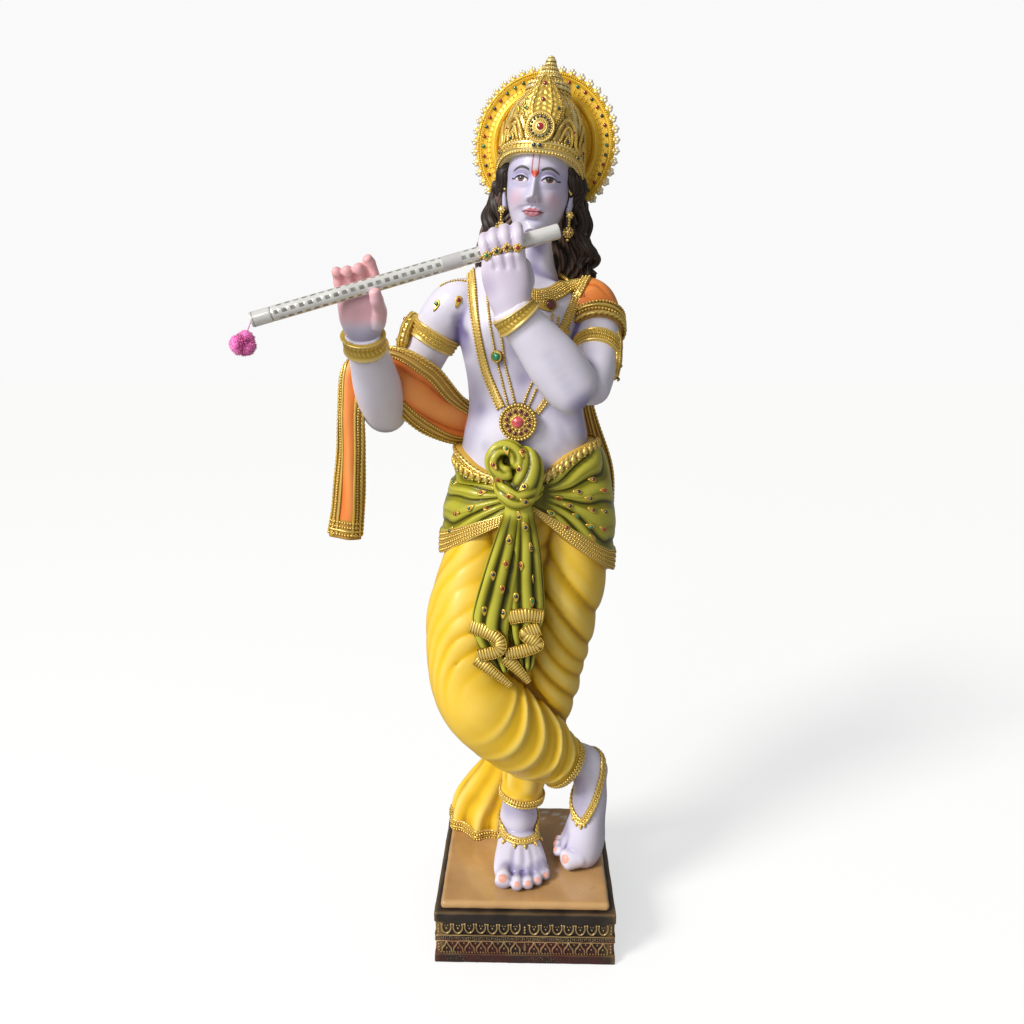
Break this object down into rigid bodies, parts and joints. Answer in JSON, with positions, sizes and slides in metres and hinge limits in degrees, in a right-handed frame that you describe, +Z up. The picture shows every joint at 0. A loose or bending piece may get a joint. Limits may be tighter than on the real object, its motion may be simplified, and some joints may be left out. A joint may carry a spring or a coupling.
{
  "type": "flute player statue",
  "caption": "Painted standing statue of Krishna playing a flute, cast with jewels, scarf, sash and dhoti, on a square carved plinth.",
  "frame": {"origin": "centre of the square underside of the plinth", "axes": "+Z up; the figure faces -Y, its right side is on -X"},
  "size_m": [0.2424, 0.1629, 0.622],
  "materials": {
    "painted_casting": "satin paint over cast marble-dust resin: pale lavender skin, yellow dhoti, olive sash, orange scarf, gold jewels",
    "dark_plinth": "dark brown with gold rubbed over the carving, glossy tan top",
    "silver_tube": "embossed silver tube",
    "pink_wool": "fluffy wool",
    "pink_stone": "polished, foil behind",
    "red_stone": "polished, foil behind",
    "green_stone": "polished, foil behind"
  },
  "bodies": {
    "root": {"figure": "painted_casting", "plinth": "dark_plinth", "flute": "silver_tube", "pompon": "pink_wool", "stone_pendant": "pink_stone", "stone_crown": "red_stone", "stone_collar": "red_stone", "stone_necklace": "green_stone"}
  },
  "joints": []
}
